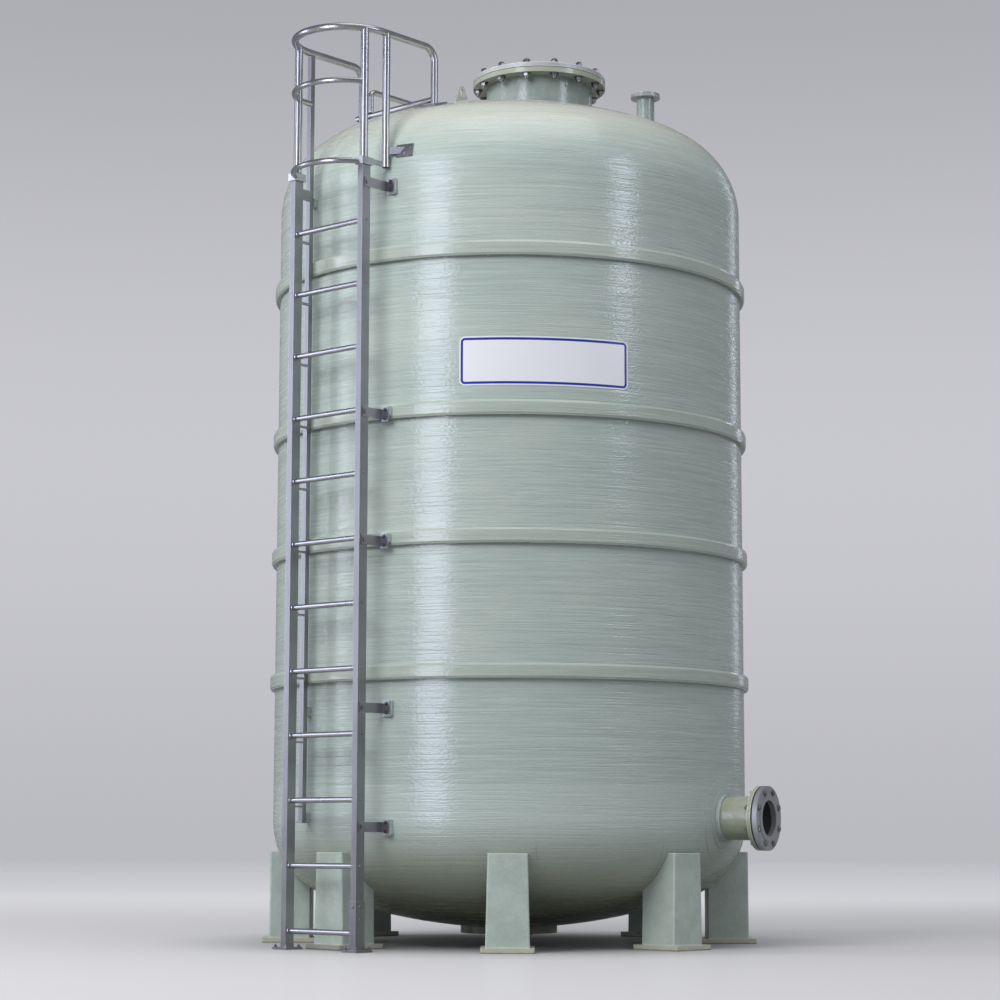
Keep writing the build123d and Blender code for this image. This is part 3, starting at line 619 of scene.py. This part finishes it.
bolt = joined([
    bar(18, 0.0150, 0.0000, 0.0016, 0.0004),
    bar(6, 0.0138, 0.0016, 0.0110, 0.0026),
    bar(12, 0.0078, 0.0110, 0.0190, 0.0014),
    bar(12, 0.0078, -0.0480, 0.0000),
])
bolts = repeat(bolt, bolt_ring(at_back, *outlet_ring, turned_over=True))
finish(bolts, "outlet_bolt_set", bolt_steel, "fastener", "outlet_bolts")

outlet_lap_radius = 0.190
outlet_lap_width = 0.086
bpy.ops.object.select_all(action="DESELECT")
bpy.ops.mesh.primitive_circle_add(vertices=96, radius=outlet_lap_radius, fill_type="NGON")
outlet_lap = bpy.context.object
bpy.ops.object.mode_set(mode="EDIT")
bpy.ops.mesh.select_all(action="SELECT")
bpy.ops.mesh.inset(thickness=outlet_lap_width)
bpy.ops.mesh.delete(type="FACE")
bpy.ops.mesh.select_all(action="SELECT")
bpy.ops.mesh.subdivide(number_cuts=4)
bpy.ops.object.mode_set(mode="OBJECT")
outlet_lap.matrix_world = facing_out(outlet_polar, outlet_level)
walls = []
for name in ("bottom_dish", "shell_wall"):
    wall_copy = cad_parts[name].copy()
    wall_copy.data = wall_copy.data.copy()
    scene.collection.objects.link(wall_copy)
    walls.append(wall_copy)
wall_target = joined(walls)
lay(outlet_lap, wall_target, lap_proud)
finish(outlet_lap, "outlet_lap", dish, "frp_dish")
bpy.data.objects.remove(wall_target)


# Ladder
# Rectangular stainless side rails with a drawn mill finish and polished round rungs, welded
# inside and screwed through the rails. Flat bars tie it to the wall and plates hold it down.
# The mill finish's pale edges are partly wear and partly a painted highlight.
mill = stainless(
    "mill_stainless", (0.40, 0.40, 0.415, 1), (0.27, 0.27, 0.28, 1), (160, 160, 3), 0.27,
    (0.72, 0.72, 0.75, 1),
)
dress(
    mill, "stringer_left", "stringer_right", "rear_rail", "ladder_feet", "wall_brackets",
    "rail_ties",
)
polished = stainless(
    "polished_stainless", (0.56, 0.56, 0.575, 1), (0.42, 0.42, 0.43, 1), (24, 24, 24), 0.18
)
rung_count = 12
dress(polished, *(f"rung_{number:02d}" for number in range(1, rung_count + 1)))
dress(bolt_steel, "bracket_bolts")

stringer_x = 0.215
stringer_inner = 0.200
stringer_outer = 0.230
ladder_y = -1.210
sleeve_wall = 0.0033
sleeve_top = 0.2
sleeve_front = -1.2383
rungs = [0.079 + 0.282 * number for number in range(rung_count)]
brackets = {0.527: -1.0855, 1.036: -1.0855, 1.762: -1.1080, 2.321: -1.1080, 3.350: -1.0855}
bracket_cover = 0.03
to_right = Matrix.Rotation(math.pi / 2, 4, "Y")
to_left = Matrix.Rotation(-math.pi / 2, 4, "Y")
to_front = Matrix.Rotation(math.pi / 2, 4, "X")

screws = []
for level in rungs:
    screws.append(Matrix.Translation((-stringer_outer, ladder_y, level)) @ to_left)
    if all(abs(level - bracket) > bracket_cover for bracket in brackets):
        face = stringer_outer + (sleeve_wall if level < sleeve_top else 0)
        screws.append(Matrix.Translation((face, ladder_y, level)) @ to_right)
for level in (0.138, 0.190):
    screws.append(Matrix.Translation((stringer_outer + sleeve_wall, ladder_y, level)) @ to_right)
screws.append(Matrix.Translation((stringer_x, sleeve_front, 0.190)) @ to_front)
screw = joined([bar(14, 0.0070, 0.0000, 0.0040, 0.0028), bar(10, 0.0046, -0.0030, 0.0000)])
finish(repeat(screw, screws), "ladder_screws", bolt_steel, "fastener")

plate_x = 0.256
plate_lift = 0.019
plate_screws = []
for level, front in brackets.items():
    for lift in (-plate_lift, plate_lift):
        plate_screws.append(Matrix.Translation((plate_x, front, level + lift)) @ to_front)
screw = joined([
    bar(16, 0.0085, 0.0000, 0.0012, 0.0004), bar(6, 0.0068, 0.0012, 0.0065, 0.0016)
])
finish(repeat(screw, plate_screws), "bracket_screws", bolt_dark, "fastener")

foot_top = 0.010
foot_across = 0.034
foot_along = 0.038
anchors = []
for middle in (-stringer_x, stringer_x):
    for x in (middle - foot_across, middle + foot_across):
        for y in (ladder_y - foot_along, ladder_y + foot_along):
            twist = Matrix.Rotation(random.uniform(0, math.pi / 3), 4, "Z")
            anchors.append(Matrix.Translation((x, y, foot_top)) @ twist)
anchor = joined([
    bar(16, 0.0090, 0.0000, 0.0014, 0.0004),
    bar(6, 0.0075, 0.0014, 0.0078, 0.0014),
    bar(12, 0.0040, 0.0078, 0.0140, 0.0010),
])
finish(repeat(anchor, anchors), "ladder_anchors", bolt_steel, "fastener")

bead_radius = 0.0132
bead_thickness = 0.0026
bpy.ops.object.select_all(action="DESELECT")
bpy.ops.mesh.primitive_torus_add(
    major_segments=20, minor_segments=6, major_radius=bead_radius, minor_radius=bead_thickness
)
bead = bpy.context.object
bpy.ops.object.mode_set(mode="EDIT")
bpy.ops.mesh.select_all(action="SELECT")
bpy.ops.transform.vertex_random(offset=0.0006, uniform=0.0, normal=1.0, seed=3)
bpy.ops.object.mode_set(mode="OBJECT")
beads = []
for level in rungs:
    beads.append(Matrix.Translation((-stringer_inner, ladder_y, level)) @ to_right)
    face = stringer_inner - (sleeve_wall if level < sleeve_top else 0)
    beads.append(Matrix.Translation((face, ladder_y, level)) @ to_left)
finish(repeat(bead, beads), "rung_welds", polished, "stainless_round")

cap_size = 0.036
cap_thickness = 0.004
cap_place = (-0.232, -1.1131, 0.547)
bpy.ops.object.select_all(action="DESELECT")
bpy.ops.mesh.primitive_cube_add(size=1)
cap = bpy.context.object
bpy.ops.object.mode_set(mode="EDIT")
bpy.ops.mesh.select_all(action="SELECT")
bpy.ops.transform.resize(value=(cap_size, cap_size, cap_thickness))
bpy.ops.mesh.bevel(offset=0.0008, segments=2)
bpy.ops.object.mode_set(mode="OBJECT")
cap.location = cap_place
finish(cap, "rear_rail_cap", mill, "stainless_square")


# Handrail
# Polished round tube, bent and welded: a walk-through top rail on posts, hoops across the
# front, and bars low over the dome. Its curved foot plates keep the mill finish.
dress(
    polished, "front_posts", "side_post", "top_rail", "mid_hoop", "low_hoop", "base_bar",
    "grab_rail",
)
dress(mill, "rail_feet")


# Studio floor
# Pale and slightly glossy round the tank, darkened under it by a painted shadow, and clear far off,
# where the backdrop takes over.
# Only the lens sees it that pale, so that it throws little light up under the tank.
floor_radius = 60
floor_drop = 0.0005
floor_painted_shadow = (0.31, 0.31, 0.315, 1)
floor_round = (0.470, 0.460, 0.474, 1)
floor_far = (0.660, 0.648, 0.662, 1)
floor_unseen = (0.26, 0.26, 0.26, 1)
bpy.ops.object.select_all(action="DESELECT")
bpy.ops.mesh.primitive_circle_add(
    vertices=96, radius=floor_radius, fill_type="NGON", location=(0, 0, -floor_drop)
)
floor = bpy.context.object
floor.name = "floor"
floor_paint, floor_shader, floor_place = new_material("floor_paint", Specular_IOR_Level=0.0)
floor_tree = floor_paint.node_tree
floor_x, floor_y = floor_place.parts()[:2]
floor_reach = (floor_x * floor_x + floor_y * floor_y).math("SQRT")
floor_behind = floor_y * math.cos(camera_turn) - floor_x * math.sin(camera_turn)
# Painted shadow: the floor is darker within 0.7 m of the axis and fades to its pale tone by 1.75 m.
floor_pale = floor_reach.step(0.7, 1.75).blend(floor_painted_shadow, floor_round)
floor_pale = floor_behind.step(1.5, 8.5).blend(floor_pale, floor_far)
floor_rays = floor_tree.nodes.new("ShaderNodeLightPath")
lens = Value(floor_tree, floor_rays.outputs["Is Camera Ray"])
feed(floor_shader, Base_Color=lens.blend(floor_unseen, floor_pale))
polish = floor_tree.nodes.new("ShaderNodeBsdfGlossy")
polish.inputs["Roughness"].default_value = 0.22
waxed = floor_tree.nodes.new("ShaderNodeMixShader")
waxed.inputs[0].default_value = 0.10
floor_tree.links.new(floor_shader.outputs[0], waxed.inputs[1])
floor_tree.links.new(polish.outputs[0], waxed.inputs[2])
clear = floor_tree.nodes.new("ShaderNodeBsdfTransparent")
mixer = floor_tree.nodes.new("ShaderNodeMixShader")
floor_tree.links.new(floor_reach.step(7.0, 40).socket, mixer.inputs[0])
floor_tree.links.new(waxed.outputs[0], mixer.inputs[1])
floor_tree.links.new(clear.outputs[0], mixer.inputs[2])
floor_output = next(node for node in floor_tree.nodes if node.type == "OUTPUT_MATERIAL")
floor_tree.links.new(mixer.outputs[0], floor_output.inputs["Surface"])
floor.data.materials.append(floor_paint)


# Backdrop and fill light
# The lens and the gloss see a grey studio wall, brightest behind the tank. All else is lit by
# an even pale fill that comes mostly from overhead.
world = bpy.data.worlds.new("studio")
scene.world = world
world.use_nodes = True
world_tree = world.node_tree
world_tree.nodes.clear()
world_coordinates = world_tree.nodes.new("ShaderNodeTexCoord")
direction = Value(world_tree, world_coordinates.outputs["Generated"])
rise = direction.parts()[2]
wall_low = (0.485, 0.487, 0.525, 1)
wall_middle = (0.575, 0.577, 0.615, 1)
wall_high = (0.400, 0.402, 0.438, 1)
wall = rise.step(-0.03, 0.14).blend(wall_low, wall_middle)
wall = rise.step(0.15, 0.36).blend(wall, wall_high)
seen = world_tree.nodes.new("ShaderNodeBackground")
world_tree.links.new(wall.socket, seen.inputs["Color"])
fill = world_tree.nodes.new("ShaderNodeBackground")
fill_low = (0.46, 0.47, 0.475, 1)
fill_high = (1.05, 1.08, 1.12, 1)
fill_colour = rise.step(-0.1, 0.9).blend(fill_low, fill_high)
world_tree.links.new(fill_colour.socket, fill.inputs["Color"])
rays = world_tree.nodes.new("ShaderNodeLightPath")
glossy = Value(world_tree, rays.outputs["Is Glossy Ray"])
gloss_dimmed = 0.55
world_tree.links.new((glossy * -gloss_dimmed + 1).socket, seen.inputs["Strength"])
shown = Value(world_tree, rays.outputs["Is Camera Ray"]) + glossy
chosen = world_tree.nodes.new("ShaderNodeMixShader")
world_tree.links.new(shown.step(0, 1).socket, chosen.inputs[0])
world_tree.links.new(fill.outputs[0], chosen.inputs[1])
world_tree.links.new(seen.outputs[0], chosen.inputs[2])
world_output = world_tree.nodes.new("ShaderNodeOutputWorld")
world_tree.links.new(chosen.outputs[0], world_output.inputs["Surface"])


# Soft boxes
# Four show only in the gloss: a tall one on the left gives the shell's broad streak, and others
# catch the ladder's faces, the ridges' tops and the rim. Key and edge only light the paint.
box_cool = (0.76, 0.80, 1.0)
box_warm = (1.0, 1.0, 0.98)


def soft_box(name, azimuth, reach, height, width, tall, power, aim, on_paint=True, on_gloss=True):
    """A box light at an azimuth from -Y towards +X, aimed at the tank's axis at a height."""
    light = bpy.data.lights.new(name, "AREA")
    light.shape = "RECTANGLE"
    light.size = width
    light.size_y = tall
    light.energy = power
    light.color = box_warm if on_paint else box_cool
    lamp = bpy.data.objects.new(name, light)
    scene.collection.objects.link(lamp)
    turn = math.radians(azimuth)
    lamp.location = (math.sin(turn) * reach, -math.cos(turn) * reach, height)
    lamp.rotation_euler = (Vector((0, 0, aim)) - lamp.location).to_track_quat("-Z", "Y").to_euler()
    lamp.visible_diffuse = on_paint
    lamp.visible_glossy = on_gloss


soft_box("box_left", camera_azimuth - 34.5, 8.5, 3.6, 2.2, 6.6, 300, 3.2, on_paint=False)
soft_box("box_side", camera_azimuth - 86, 8.0, 3.4, 1.8, 5.4, 118, 2.6, on_paint=False)
soft_box("box_right", camera_azimuth + 54, 8.5, 5.9, 1.6, 3.0, 105, 2.4, on_paint=False)
soft_box("box_rim", camera_azimuth + 140, 8.0, 4.2, 0.3, 5.6, 22, 2.4, on_paint=False)
soft_box("box_key", camera_azimuth - 36, 8.0, 6.8, 4.0, 4.0, 480, 2.1, on_gloss=False)
soft_box("box_edge", camera_azimuth - 84, 8.0, 6.4, 2.4, 4.0, 215, 2.3, on_gloss=False)
soft_box("box_top", camera_azimuth + 20, 2.2, 9.0, 5.0, 5.0, 110, 2.0)
